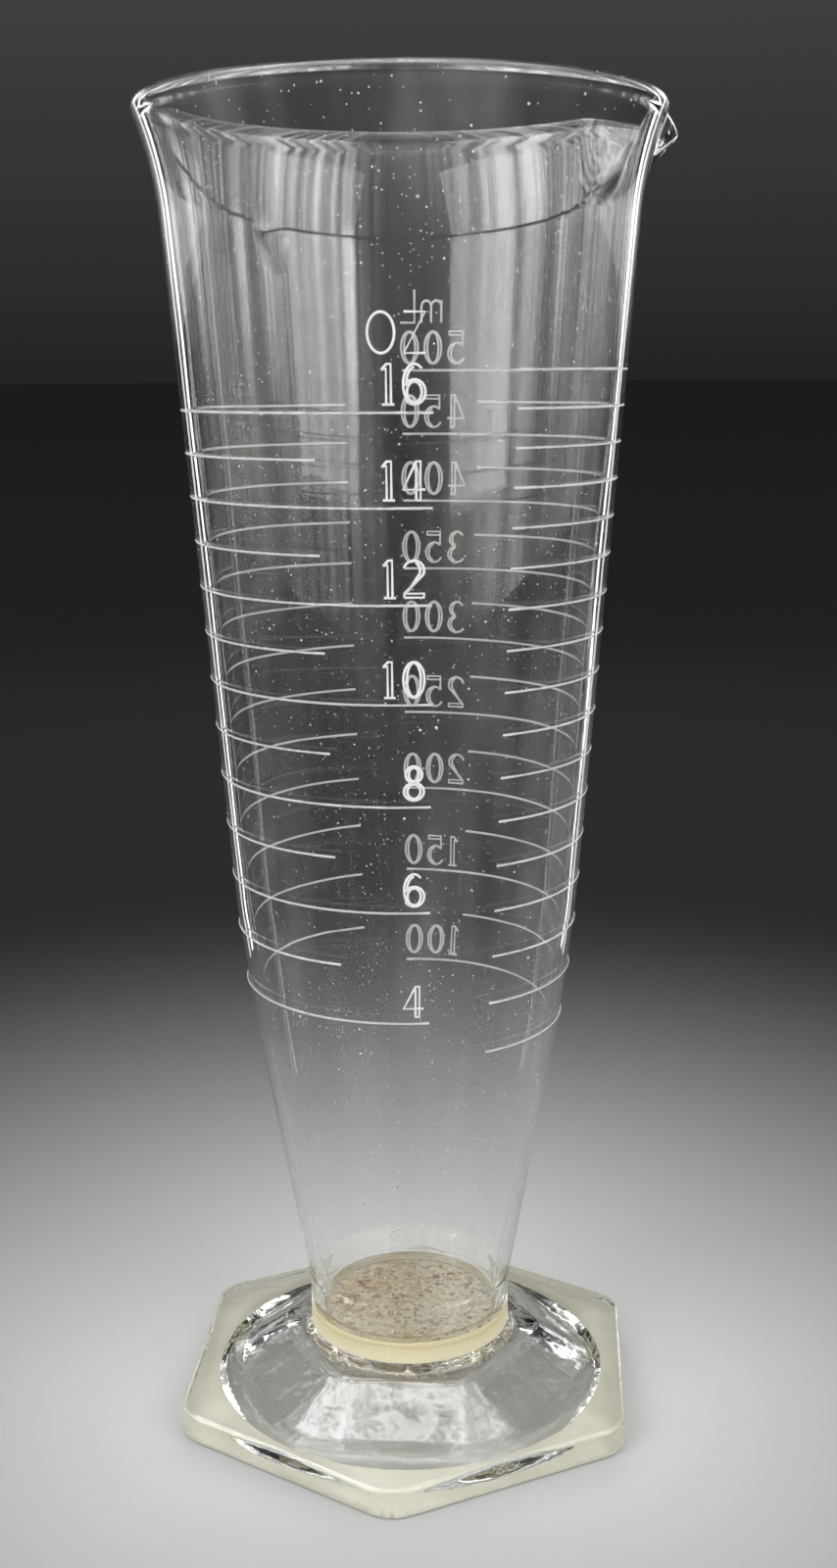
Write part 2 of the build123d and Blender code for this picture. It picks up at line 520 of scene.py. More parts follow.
@dataclass(frozen=True)
class GrainyCement:
    """The cement bed: sandy grey and beige grains with rusty stains near its back edge, and a faint painted glow in
    its own colour.
    """

    light: Colour = (0.96, 0.89, 0.70)
    middle: Colour = (0.78, 0.70, 0.51)
    dark: Colour = (0.28, 0.24, 0.16)
    tan: Colour = (0.76, 0.55, 0.27)
    rust: Colour = (0.24, 0.12, 0.04)
    # Emission strength of a painted glow that brightens the bed under the glass; the cement is no lamp.
    lift: float = 0.13

    def material(self) -> bpy.types.Material:
        """Builds the material.

        Returns:
            The material.
        """
        shader = Shader("grainy_cement")
        grains = shader.grains(1000.0) * 0.5 + shader.grains(1900.0) * 0.5
        lumps = shader.noise(300.0, 3.0, 0.6)
        pits = shader.cells(800.0)
        ramp = shader.node(
            "ShaderNodeValToRGB",
            {"stops": [(0.22, self.dark), (0.42, self.middle), (0.66, self.light)]},
            {0: grains * 0.7 + lumps * 0.3},
        )
        left = shader.near((-0.0110, 0.0070, 0.0175), 0.0170)
        right = shader.near((0.0090, 0.0120, 0.0175), 0.0060)
        rim = shader.near((0.0, -0.0165, 0.0175), 0.0090)
        blots = shader.noise(420.0, 4.0, 0.6)
        tanned = (left * 1.5 + rim * 1.1 + right) * blots.above(0.38, 0.60)
        spots = (left * 1.1 + right * 3.2) * blots.above(0.54, 0.62)
        speck = shader.near((-0.003, 0.001, 0.0175), 0.0011).above(0.2, 0.5)
        stained = shader.mix((tanned * 0.9).clamped(), ramp.outputs[0], self.tan)
        rusty = shader.mix(spots.clamped(), stained, self.rust)
        colour = shader.mix(speck, rusty, self.dark)
        shader.principled({
            # Emission in the bed's own colour: painted light that brightens it.
            "Base Color": colour,
            "Emission Color": colour,
            "Emission Strength": self.lift,
            "Roughness": 0.82 + lumps * 0.12,
            "Normal": shader.bump(grains * 0.5 + pits * 0.5, 0.00012),
        })
        return shader.material


@dataclass(frozen=True)
class SmoothCement:
    """The cement collar: dense, cream and slightly waxy."""

    cream: Colour = (0.74, 0.69, 0.50)
    yellowed: Colour = (0.62, 0.54, 0.30)
    seam: Colour = (0.45, 0.36, 0.18)
    depth: float = 0.0012

    def material(self) -> bpy.types.Material:
        """Builds the material.

        Returns:
            The material.
        """
        shader = Shader("smooth_cement")
        clouds = shader.noise(110.0, 4.0, 0.6)
        grit = shader.noise(1500.0, 3.0, 0.7)
        height = shader.axis("Z") + (clouds - 0.5) * 0.0014
        upper = height.above(0.0160, 0.0185)
        mixed = shader.mix((upper * 0.55 + grit.above(0.5, 0.7) * 0.35).clamped(), self.cream, self.yellowed)
        seam = height.above(0.0184, 0.0187) * (1.0 - height.above(0.0189, 0.0192))
        shader.principled({
            "Base Color": shader.mix(seam * 0.35, mixed, self.seam),
            "Roughness": 0.42 + grit * 0.25,
            "Subsurface Weight": 0.35,
            "Subsurface Radius": (1.0, 0.8, 0.5),
            "Subsurface Scale": self.depth,
            "Normal": shader.bump(clouds * 0.7 + grit * 0.3, 0.00012),
        })
        return shader.material


@dataclass(frozen=True)
class StudioFloor:
    """A pale floor whose colour darkens with distance from the object: a painted pool of light that fades into
    painted shade.
    """

    pale: Colour = (0.50, 0.50, 0.495)
    # This dark colour is painted shade towards the floor's edge.
    far: Colour = (0.018, 0.018, 0.0195)
    near_reach: float = 0.05
    far_reach: float = 0.40

    def material(self) -> bpy.types.Material:
        """Builds the material.

        Returns:
            The material.
        """
        shader = Shader("studio_floor")
        length = shader.node("ShaderNodeVectorMath", {"operation": "LENGTH"}, {0: shader.place})
        # A mask that grows with distance from the object: the painted falloff of light.
        painted_falloff = shader.value(length.outputs["Value"]).above(self.near_reach, self.far_reach)
        grain = shader.noise(900.0, 2.0, 0.5)
        shader.principled({
            # Base colour: pale near the object and darkening with distance, a painted pool of light fading into
            # painted shade.
            "Base Color": shader.mix(1.0 - (1.0 - painted_falloff) ** 2.6, self.pale, self.far),
            "Roughness": 0.75 + grain * 0.1,
            "Specular IOR Level": 0.0,
        })
        return shader.material


class Finish(Enum):
    """The finishes of the glass, its scales and its cement."""

    BLOWN_GLASS = BlownGlass()
    PRESSED_GLASS = PressedGlass()
    GROUND_GLASS = GroundGlass()
    ENAMEL = FiredEnamel()
    GRAINY_CEMENT = GrainyCement()
    SMOOTH_CEMENT = SmoothCement()
    FLOOR = StudioFloor()


class Paints:
    """Materials that are made once and shared."""

    def __init__(self) -> None:
        """Starts with none made."""
        self.made: dict[Finish, bpy.types.Material] = {}

    def of(self, finish: Finish) -> bpy.types.Material:
        """The material of a finish.

        Args:
            finish: Which finish.

        Returns:
            The material, made on its first use.
        """
        if finish not in self.made:
            self.made[finish] = finish.value.material()
        return self.made[finish]


class Bench:
    """The modelling steps that several pieces share."""

    @staticmethod
    def clear() -> None:
        """Deselects everything."""
        bpy.ops.object.select_all(action="DESELECT")

    @staticmethod
    def take(piece: bpy.types.Object) -> None:
        """Selects one piece and makes it active.

        Args:
            piece: The piece to work on.
        """
        bpy.ops.object.select_all(action="DESELECT")
        piece.select_set(True)
        bpy.context.view_layer.objects.active = piece

    @staticmethod
    def named(name: str) -> bpy.types.Object:
        """Names the active object and its mesh.

        Args:
            name: The new name.

        Returns:
            The object.
        """
        piece = bpy.context.object
        piece.name = name
        piece.data.name = name
        return piece

    @staticmethod
    def settle(piece: bpy.types.Object) -> None:
        """Puts a piece's place into its mesh.

        Args:
            piece: The piece.
        """
        Bench.take(piece)
        bpy.ops.object.transform_apply(location=True, rotation=True, scale=True)

    @staticmethod
    def apply(piece: bpy.types.Object, kind: str, settings: dict[str, Any]) -> None:
        """Adds a modifier and applies it.

        Args:
            piece: The piece.
            kind: The modifier's type.
            settings: Its properties.
        """
        Bench.take(piece)
        modifier = piece.modifiers.new(kind.lower(), kind)
        for name, given in settings.items():
            setattr(modifier, name, given)
        bpy.ops.object.modifier_apply(modifier=modifier.name)

    @staticmethod
    def turned(name: str, profile: list[Point], steps: int) -> bpy.types.Object:
        """Extrudes one point along a profile and spins it into a closed body.

        Args:
            name: The piece's name.
            profile: Radius and height at each point.
            steps: How many steps the spin takes.

        Returns:
            The piece, with its faces pointing out.
        """
        Bench.clear()
        bpy.ops.mesh.primitive_plane_add(size=profile[-1][1])
        piece = Bench.named(name)
        bpy.ops.object.mode_set(mode="EDIT")
        bpy.ops.mesh.select_all(action="SELECT")
        bpy.ops.mesh.merge(type="CENTER")
        bpy.ops.transform.translate(value=(profile[0][0], 0, profile[0][1]))
        for (r0, z0), (r1, z1) in zip(profile, profile[1:]):
            bpy.ops.mesh.extrude_vertices_move(TRANSFORM_OT_translate={"value": (r1 - r0, 0, z1 - z0)})
        bpy.ops.mesh.select_all(action="SELECT")
        bpy.ops.mesh.spin(steps=steps, angle=FULL_TURN, center=(0, 0, 0), axis=(0, 0, 1))
        bpy.ops.mesh.select_all(action="SELECT")
        bpy.ops.mesh.remove_doubles(threshold=1e-6)
        bpy.ops.mesh.normals_make_consistent(inside=False)
        bpy.ops.object.mode_set(mode="OBJECT")
        return piece

    @staticmethod
    def smooth(piece: bpy.types.Object, degrees: float) -> None:
        """Shades a piece smooth except at sharp edges.

        Args:
            piece: The piece.
            degrees: Edges that turn more than this stay sharp.
        """
        Bench.take(piece)
        bpy.ops.object.shade_smooth_by_angle(angle=math.radians(degrees))

    @staticmethod
    def copied(name: str, node: str) -> bpy.types.Object:
        """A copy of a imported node, with its loose triangles merged.

        Args:
            name: The copy's name.
            node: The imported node.

        Returns:
            The copy, which rides on nothing yet.
        """
        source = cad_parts[node]
        piece = bpy.data.objects.new(name, source.data.copy())
        bpy.context.scene.collection.objects.link(piece)
        piece.data.name = name
        piece.data.materials.clear()
        Bench.take(piece)
        bpy.ops.object.mode_set(mode="EDIT")
        bpy.ops.mesh.select_all(action="SELECT")
        bpy.ops.mesh.remove_doubles(threshold=1e-6)
        bpy.ops.object.mode_set(mode="OBJECT")
        return piece

    @staticmethod
    def joined(name: str, pieces: list[bpy.types.Object]) -> bpy.types.Object:
        """Joins pieces into one.

        Args:
            name: The joined piece's name.
            pieces: The pieces.

        Returns:
            The joined piece.
        """
        Bench.clear()
        for piece in pieces:
            piece.select_set(True)
        bpy.context.view_layer.objects.active = pieces[0]
        bpy.ops.object.join()
        return Bench.named(name)

    @staticmethod
    def report(piece: bpy.types.Object) -> None:
        """Logs a piece's name and how many faces it has.

        Args:
            piece: The piece.
        """
        LOG.info("%s: %d faces", piece.name, len(piece.data.polygons))


def rounded(corners: list[Point], radii: list[float], turn_step: float) -> list[Point]:
    """A line through corners with each inner corner rounded.

    Args:
        corners: The line's corners.
        radii: A radius for each inner corner.
        turn_step: How far each short chord of a rounding turns, in degrees.

    Returns:
        The points of the line.
    """
    points = [corners[0]]
    for before, corner, after, radius in zip(corners, corners[1:], corners[2:], radii):
        here = Vector(corner)
        back = (Vector(before) - here).normalized()
        ahead = (Vector(after) - here).normalized()
        opening = back.angle(ahead)
        run = radius / math.tan(opening / 2)
        centre = here + (back + ahead).normalized() * (radius / math.sin(opening / 2))
        turn = math.pi - opening
        start = here + back * run - centre
        side = 1.0 if back.x * ahead.y - back.y * ahead.x < 0 else -1.0
        steps = max(1, round(math.degrees(turn) / turn_step))
        for step in range(steps + 1):
            spoke = Matrix.Rotation(side * turn * step / steps, 2) @ start
            points.append(tuple(centre + spoke))
    points.append(corners[-1])
    return points


def divided(points: list[Point], longest: float) -> list[Point]:
    """Divides the long runs of a line.

    Args:
        points: The line.
        longest: The longest run that is left whole.

    Returns:
        The line with more points on its long runs.
    """
    line = [points[0]]
    for start, end in zip(points, points[1:]):
        pieces = max(1, math.ceil(math.dist(start, end) / longest))
        for piece in range(1, pieces + 1):
            share = piece / pieces
            line.append((start[0] + (end[0] - start[0]) * share, start[1] + (end[1] - start[1]) * share))
    return line


@dataclass
class Cup:
    """The blown cup with its flared rim and pulled spout, in metres."""

    base: float = 0.0175
    floor: float = 0.0195
    wall: float = 0.0025
    heel_radius: float = 0.0205
    heel_top: float = 0.0255
    heel_cut: float = 0.0024
    heel_round: float = 0.0012
    floor_cut: float = 0.0009
    floor_round: float = 0.0008
    heel_blend: float = 0.010
    bend_radius: float = 0.0318
    bend_height: float = 0.0943
    bend_blend: float = 0.260
    neck_radius: float = 0.0411
    neck_height: float = 0.2268
    flare_blend: float = 0.054
    flare_angle: float = 18.0
    bead_radius: float = 0.0017
    ring_step: float = 0.0022
    round_segments: int = 256
    spout_azimuth: float = 19.0
    spout_reach: float = 0.0065
    spout_drop: float = 0.0032
    spout_half_width: float = 0.0145
    spout_depth: float = 0.0135
    wave_size: float = 0.045
    wave_height: float = 0.00035
    wave_fade: float = 0.035

    def side(self, inset: float, base: float, cut: float, corner_round: float) -> list[Point]:
        """One side of the wall from the axis up to the lip.

        Args:
            inset: How far inside the outer wall it lies.
            base: The height of its flat bottom.
            cut: How far the slope at its bottom corner reaches.
            corner_round: The radius at both ends of that slope.

        Returns:
            Radius and height of its points.
        """
        corners = [
            (0.0, base),
            (self.heel_radius - inset - cut, base),
            (self.heel_radius - inset, base + cut),
            (self.heel_radius - inset, self.heel_top),
            (self.bend_radius - inset, self.bend_height),
            (self.neck_radius - inset, self.neck_height),
        ]
        line = rounded(corners, [corner_round, corner_round, self.heel_blend, self.bend_blend], 6.0)
        slope = math.atan2(self.neck_height - self.bend_height, self.neck_radius - self.bend_radius)
        centre = Vector(line[-1]) + Matrix.Rotation(-math.pi / 2, 2) @ Vector((math.cos(slope), math.sin(slope))) * self.flare_blend
        spoke = Vector(line[-1]) - centre
        steps = 14
        for step in range(1, steps + 1):
            turned = Matrix.Rotation(-math.radians(self.flare_angle) * step / steps, 2) @ spoke
            line.append(tuple(centre + turned))
        return divided(line, self.ring_step)

    @property
    def outer(self) -> list[Point]:
        """The outer side of the wall."""
        return self.side(0.0, self.base, self.heel_cut, self.heel_round)

    def outer_radius(self, height: float) -> float:
        """The outer radius of the wall at a height.

        Args:
            height: The height, above the heel's corner.

        Returns:
            The radius.
        """
        for (r0, z0), (r1, z1) in zip(self.outer, self.outer[1:]):
            if z0 <= height <= z1 and z1 > z0:
                return r0 + (r1 - r0) * (height - z0) / (z1 - z0)
        raise ValueError(f"no wall at {height}")

    def profile(self) -> list[Point]:
        """The whole section: up the outside, over the bead and down the inside."""
        outer = self.outer
        inner = self.side(self.wall, self.floor, self.floor_cut, self.floor_round)
        lip = Vector(outer[-1])
        along = (lip - Vector(outer[-2])).normalized()
        centre = lip + Vector((-along.y, along.x)) * self.bead_radius
        mouth = inner[-1][0]
        spoke = lip - centre
        bead = []
        for step in range(1, 40):
            point = centre + Matrix.Rotation(math.radians(9.0) * step, 2) @ spoke
            bead.append(tuple(point))
            if point.x <= mouth + 0.0002:
                break
        return outer + bead + [point for point in reversed(inner)]

    def build(self) -> bpy.types.Object:
        """Models the cup.

        Returns:
            The cup.
        """
        cup = Bench.turned("blown_cup", self.profile(), self.round_segments)
        self.rim_height = max(vertex.co.z for vertex in cup.data.vertices)
        self.ripple_inside(cup)
        self.pull_spout(cup)
        Bench.take(cup)
        bpy.ops.object.shade_smooth()
        Bench.report(cup)
        return cup

    def ripple_inside(self, cup: bpy.types.Object) -> None:
        """Lets the inner side wander, as it does on blown glass.

        Args:
            cup: The cup.
        """
        group = cup.vertex_groups.new(name="inside")
        for vertex in cup.data.vertices:
            radius = math.hypot(vertex.co.x, vertex.co.y)
            from_end = min(vertex.co.z - self.heel_top, self.neck_height - vertex.co.z)
            if from_end > 0 and radius < self.outer_radius(vertex.co.z) - self.wall / 2:
                share = min(1.0, from_end / self.wave_fade)
                group.add([vertex.index], share * share * (3 - 2 * share), "REPLACE")
        texture = bpy.data.textures.new("slow_waves", "CLOUDS")
        texture.noise_scale = self.wave_size
        texture.noise_depth = 1
        Bench.apply(cup, "DISPLACE", {
            "texture": texture,
            "texture_coords": "LOCAL",
            "direction": "NORMAL",
            "vertex_group": "inside",
            "strength": self.wave_height,
            "mid_level": 0.5,
        })

    def pull_spout(self, cup: bpy.types.Object) -> None:
        """Pulls the rim out and down into a spout.

        Args:
            cup: The cup.
        """
        angle = math.radians(self.spout_azimuth)
        outwards = Vector((math.cos(angle), math.sin(angle), 0))
        across = Vector((-math.sin(angle), math.cos(angle), 0))
        group = cup.vertex_groups.new(name="spout")
        for vertex in cup.data.vertices:
            depth = (self.rim_height - self.bead_radius - vertex.co.z) / self.spout_depth
            share = min(1.0, 1.0 - depth)
            if share <= 0 or vertex.co.dot(outwards) <= 0:
                continue
            half_width = self.spout_half_width * (0.45 + 0.55 * share)
            aside = min(1.0, abs(vertex.co.dot(across)) / half_width)
            weight = share ** 1.15 * (1 - aside) ** 2 * (1 + 2 * aside)
            if weight > 0:
                group.add([vertex.index], weight, "REPLACE")
        pull = outwards * self.spout_reach - Vector((0, 0, self.spout_drop))
        for axis, strength in zip("XYZ", pull):
            Bench.apply(cup, "DISPLACE", {
                "direction": axis,
                "vertex_group": "spout",
                "strength": strength,
                "mid_level": 0.0,
            })

    def dress(self, cup: bpy.types.Object, paints: Paints) -> None:
        """Gives the cup its finish and its place in the frame.

        Args:
            cup: The cup.
            paints: The shared materials.
        """
        cup.data.materials.clear()
        cup.data.materials.append(paints.of(Finish.BLOWN_GLASS))
        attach(cup, BODY)
        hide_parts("cup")


def arc(centre: Point, radii: Point, start: float, end: float) -> list[Point]:
    """Points along an upright ellipse.

    Args:
        centre: Its centre.
        radii: Its half width and half height.
        start: The first angle in degrees.
        end: The last angle in degrees.

    Returns:
        The points.
    """
    steps = max(4, round(abs(end - start) / 12))
    angles = [math.radians(start + (end - start) * step / steps) for step in range(steps + 1)]
    return [(centre[0] + radii[0] * math.cos(angle), centre[1] + radii[1] * math.sin(angle)) for angle in angles]


@dataclass(frozen=True)
class Glyph:
    """One figure as a pen draws it, with thick strokes as two lines, on a grid 6.1 high."""

    width: float
    strokes: tuple[list[Point], ...]


GLYPHS = {
    "0": Glyph(3.6, (
        arc((1.8, 3.05), (1.75, 3.0), 0, 360),
        arc((1.8, 3.05), (1.15, 2.85), 0, 360),
    )),
    "1": Glyph(2.1, (
        [(0.1, 5.2), (0.9, 6.05), (1.55, 6.05), (1.55, 0.1)],
        [(0.1, 5.2), (0.8, 5.35), (0.8, 0.1)],
        [(0.15, 0.05), (2.1, 0.05)],
    )),
    "2": Glyph(3.5, (
        arc((1.7, 4.45), (1.65, 1.6), 165, -25) + [(0.15, 0.75)],
        arc((1.55, 4.45), (1.15, 1.35), 70, -25) + [(0.75, 1.15)],
        [(0.15, 0.1), (3.35, 0.1), (3.35, 0.75), (0.15, 0.75), (0.15, 0.1)],
    )),
    "3": Glyph(3.5, (
        arc((1.6, 4.6), (1.5, 1.45), 150, -85),
        arc((1.6, 4.6), (0.95, 1.2), 70, -70),
        arc((1.6, 1.62), (1.8, 1.57), 85, -150),
        arc((1.6, 1.62), (1.2, 1.3), 75, -75),
    )),
    "4": Glyph(3.6, (
        [(2.15, 6.05), (0.05, 1.7), (3.6, 1.7)],
        [(2.15, 0.05), (2.15, 6.05), (2.85, 6.05), (2.85, 0.05), (2.15, 0.05)],
    )),
    "5": Glyph(3.5, (
        [(0.45, 5.4), (0.45, 6.05), (3.2, 6.05), (3.2, 5.4), (0.45, 5.4), (0.45, 3.4)],
        arc((1.65, 2.0), (1.75, 1.95), 135, -150),
        arc((1.65, 2.0), (1.15, 1.65), 80, -80),
    )),
    "6": Glyph(3.6, (
        arc((1.85, 3.05), (1.75, 3.0), 50, 250),
        arc((1.95, 3.05), (1.35, 2.55), 95, 185),
        arc((1.85, 1.9), (1.75, 1.85), 150, -150),
        arc((1.85, 1.9), (1.15, 1.55), 0, 360),
    )),
    "8": Glyph(3.6, (
        arc((1.8, 4.6), (1.4, 1.45), 0, 360),
        arc((1.8, 4.6), (0.85, 1.2), 0, 360),
        arc((1.8, 1.6), (1.7, 1.55), 0, 360),
        arc((1.8, 1.6), (1.1, 1.25), 0, 360),
    )),
    "m": Glyph(4.3, (
        [(0.1, 0.05), (0.1, 4.1)],
        arc((1.15, 2.9), (1.05, 1.15), 180, 0) + [(2.2, 0.05)],
        arc((3.2, 2.9), (1.0, 1.15), 180, 0) + [(4.2, 0.05)],
    )),
    "L": Glyph(3.0, ([(0.1, 6.05), (0.1, 0.05), (3.0, 0.05)],)),
    "o": Glyph(4.4, (arc((2.2, 3.05), (2.1, 3.0), 0, 360),)),
    "z": Glyph(3.5, ([(0.1, 6.05), (3.4, 6.05), (0.1, 0.05), (3.5, 0.05)],)),
}


@dataclass
class Scale:
    """One fired scale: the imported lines, with a numeral above each long one."""

    name: str
    node: str
    cup: Cup
    first: int
    step: int
    numeral_every: int
    numeral_azimuth: float
    unit: str
    unit_height: float
    seat: float = 0.0014
    grid: float = 0.001
    numeral_lift: float = 0.0012
    letter_gap: float = 1.25
    stroke: float = 0.00023
    sunk: float = 0.00013

    def mark_heights(self) -> list[float]:
        """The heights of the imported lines, from the lowest up."""
        heights = sorted(vertex.co.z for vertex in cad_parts[self.node].data.vertices)
        groups: list[list[float]] = [[heights[0]]]
        for height in heights[1:]:
            if height - groups[-1][-1] > 0.001:
                groups.append([])
            groups[-1].append(height)
        return [(group[0] + group[-1]) / 2 for group in groups]

    def build_lines(self) -> bpy.types.Object:
        """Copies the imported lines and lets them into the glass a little, as fired enamel is.

        Returns:
            The lines.
        """
        lines = Bench.copied(f"{self.name}_lines", self.node)
        Bench.take(lines)
        bpy.ops.transform.resize(value=(1 - self.seat, 1 - self.seat, 1), center_override=(0, 0, 0))
        Bench.settle(lines)
        Bench.smooth(lines, 30.0)
        return lines

    def write(self, curve: bpy.types.Curve, text: str, base: float) -> None:
        """Draws a word or number on the wall with its right edge at the scale's azimuth.

        Args:
            curve: The curve that takes the strokes.
            text: What to write.
            base: The height of its base line.
        """
        width = sum(GLYPHS[letter].width for letter in text) + self.letter_gap * (len(text) - 1)
        radius = self.cup.outer_radius(base)
        left = -width
        for letter in text:
            for stroke in GLYPHS[letter].strokes:
                spline = curve.splines.new("POLY")
                spline.points.add(len(stroke) - 1)
                for point, (across, up) in zip(spline.points, stroke):
                    turn = math.radians(self.numeral_azimuth) + (left + across) * self.grid / radius
                    height = base + up * self.grid
                    out = self.cup.outer_radius(height) - self.sunk
                    point.co = (out * math.cos(turn), out * math.sin(turn), height, 1)
            left += GLYPHS[letter].width + self.letter_gap

    def build_numerals(self) -> bpy.types.Object:
        """Writes the numerals and the unit.

        Returns:
            The numerals as one piece.
        """
        curve = bpy.data.curves.new(f"{self.name}_numerals", "CURVE")
        curve.dimensions = "3D"
        for index, height in enumerate(self.mark_heights()):
            figure = self.first + index * self.step
            if figure % self.numeral_every == 0:
                self.write(curve, str(figure), height + self.numeral_lift)
        self.write(curve, self.unit, self.unit_height)
        curve.bevel_depth = self.stroke
        curve.bevel_resolution = 1
        curve.use_fill_caps = True
        numerals = bpy.data.objects.new(f"{self.name}_numerals", curve)
        bpy.context.scene.collection.objects.link(numerals)
        Bench.take(numerals)
        bpy.ops.object.convert(target="MESH")
        numerals = Bench.named(f"{self.name}_numerals")
        Bench.smooth(numerals, 50.0)
        return numerals

    def build(self, paints: Paints) -> list[bpy.types.Object]:
        """Models and dresses the scale.

        Args:
            paints: The shared materials.

        Returns:
            Its pieces.
        """
        lines = self.build_lines()
        numerals = self.build_numerals()
        for piece in (lines, numerals):
            piece.data.materials.clear()
            piece.data.materials.append(paints.of(Finish.ENAMEL))
            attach(piece, BODY)
            Bench.report(piece)
        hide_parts(self.node)
        return [lines, numerals]


@dataclass
class Cement:
    """The grainy bed under the cup and the smooth collar round its heel, in metres."""

    seat: float = 0.0150
    top: float = 0.0175
    bed_radius: float = 0.0180
    collar_inner: float = 0.0181
    collar_outer: float = 0.0205
    collar_top: float = 0.0199
    bite: float = 0.00030
    grain_height: float = 0.00014

    def build_bed(self) -> bpy.types.Object:
        """Models the bed as a thick disc with a grainy face.

        Returns:
            The bed.
        """
        Bench.clear()
        bpy.ops.mesh.primitive_cylinder_add(
            vertices=96,
            radius=self.bed_radius - 0.0001,
            depth=self.top - self.seat + self.bite,
            location=(0, 0, (self.top + self.seat + self.bite) / 2),
        )
        bed = Bench.named("grainy_cement_bed")
        Bench.settle(bed)
        bpy.ops.object.mode_set(mode="EDIT")
        bpy.ops.mesh.select_all(action="DESELECT")
        bpy.ops.object.mode_set(mode="OBJECT")
        for face in bed.data.polygons:
            face.select = abs(face.normal.z) > 0.9
        bpy.ops.object.mode_set(mode="EDIT")
        for _ in range(3):
            bpy.ops.mesh.inset(thickness=0.0006, use_individual=True)
        bpy.ops.mesh.quads_convert_to_tris()
        bpy.ops.object.mode_set(mode="OBJECT")
        Bench.apply(bed, "REMESH", {"mode": "VOXEL", "voxel_size": 0.00032})
        texture = bpy.data.textures.new("sand", "CLOUDS")
        texture.noise_scale = 0.0012
        texture.noise_depth = 3
        Bench.apply(bed, "DISPLACE", {
            "texture": texture,
            "texture_coords": "LOCAL",
            "direction": "NORMAL",
            "strength": self.grain_height,
            "mid_level": 0.5,
        })
        Bench.smooth(bed, 50.0)
        return bed

    def build_collar(self) -> bpy.types.Object:
        """Models the collar as a turned ring with a soft top edge.

        Returns:
            The collar.
        """
        inner = self.collar_inner - self.bite
        corners = [
            (inner, self.seat),
            (self.collar_outer, self.seat),
            (self.collar_outer, self.collar_top),
            (self.collar_outer - 0.0003, self.collar_top),
            (inner, self.top + self.bite),
            (inner, self.seat),
        ]
        line = rounded(corners, [0.0004, 0.0001, 0.0001, 0.0001], 15.0)
        collar = Bench.turned("cement_collar_ring", divided(line, 0.0006), 160)
        texture = bpy.data.textures.new("trowelled", "CLOUDS")
        texture.noise_scale = 0.006
        Bench.apply(collar, "DISPLACE", {
            "texture": texture,
            "texture_coords": "LOCAL",
            "direction": "NORMAL",
            "strength": 0.00016,
            "mid_level": 0.6,
        })
        Bench.smooth(collar, 50.0)
        return collar

    def build(self, paints: Paints) -> list[bpy.types.Object]:
        """Models and dresses the cement.

        Args:
            paints: The shared materials.

        Returns:
            Its pieces.
        """
        bed = self.build_bed()
        collar = self.build_collar()
        for piece, finish, node, slot in (
            (bed, Finish.GRAINY_CEMENT, "cement_bed", "grainy_cement"),
            (collar, Finish.SMOOTH_CEMENT, "cement_collar", "smooth_cement"),
        ):
            piece.data.materials.clear()
            piece.data.materials.append(paints.of(finish))
            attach(piece, BODY)
            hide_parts(node)
            Bench.report(piece)
        return [bed, collar]


@dataclass
class Foot:
    """The pressed foot, copied from the imported node and shaded smooth, with a ground underside."""

    ground_depth: float = 0.0002
    recess_radius: float = 0.040
    recess_depth: float = 0.0015

    def build(self, paints: Paints) -> bpy.types.Object:
        """Models and dresses the foot.

        Args:
            paints: The shared materials.

        Returns:
            The foot.
        """
        foot = Bench.copied("pressed_foot", "foot")
        Bench.smooth(foot, 28.0)
        foot.data.materials.append(paints.of(Finish.PRESSED_GLASS))
        foot.data.materials.append(paints.of(Finish.GROUND_GLASS))
        lowest = min(vertex.co.z for vertex in foot.data.vertices)
        for face in foot.data.polygons:
            flat = face.normal.z < -0.95 and face.center.z < lowest + self.ground_depth
            inwards = face.normal.xy.dot(face.center.xy.normalized()) < -0.9
            step = inwards and face.center.z < self.recess_depth and face.center.xy.length > self.recess_radius * 0.98
            face.material_index = 1 if flat or step else 0
        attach(foot, BODY)
        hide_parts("foot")
        Bench.report(foot)
        return foot


@dataclass
class Softbox:
    """One soft lamp that looks at the middle of the glass."""

    name: str
    azimuth: float
    height: float
    distance: float
    width: float
    tall: float
    watts: float
    aim_height: float = 0.08
    through_glass: bool = True
    mirrored: bool = False

    def build(self) -> None:
        """Adds the lamp."""
        angle = math.radians(self.azimuth)
        place = Vector((math.cos(angle) * self.distance, math.sin(angle) * self.distance, self.height))
        light = bpy.data.lights.new(self.name, "AREA")
        light.shape = "RECTANGLE"
        light.size = self.width
        light.size_y = self.tall
        light.energy = self.watts
        lamp = bpy.data.objects.new(self.name, light)
        bpy.context.scene.collection.objects.link(lamp)
        lamp.visible_camera = False
        lamp.visible_glossy = self.mirrored
        lamp.visible_diffuse = not self.mirrored
        lamp.visible_transmission = self.through_glass
        lamp.location = place
        lamp.rotation_euler = (Vector((0, 0, self.aim_height)) - place).to_track_quat("-Z", "Y").to_euler()


@dataclass(frozen=True)
class Glow:
    """One soft panel of light that the glass mirrors."""

    azimuth: float
    elevation: float
    sharpness: float
    strength: float

    def shine(self, world: Nodes, view: bpy.types.NodeSocket) -> Value:
        """How bright the panel is along a direction.

        Args:
            world: The world's nodes.
            view: The direction.

        Returns:
            The brightness.
        """
        level = math.cos(math.radians(self.elevation))
        towards = (
            level * math.cos(math.radians(self.azimuth)),
            level * math.sin(math.radians(self.azimuth)),
            math.sin(math.radians(self.elevation)),
        )
        node = world.node("ShaderNodeVectorMath", {"operation": "DOT_PRODUCT"}, {0: view, 1: towards})
        return world.value(node.outputs["Value"]).clamped() ** self.sharpness * self.strength


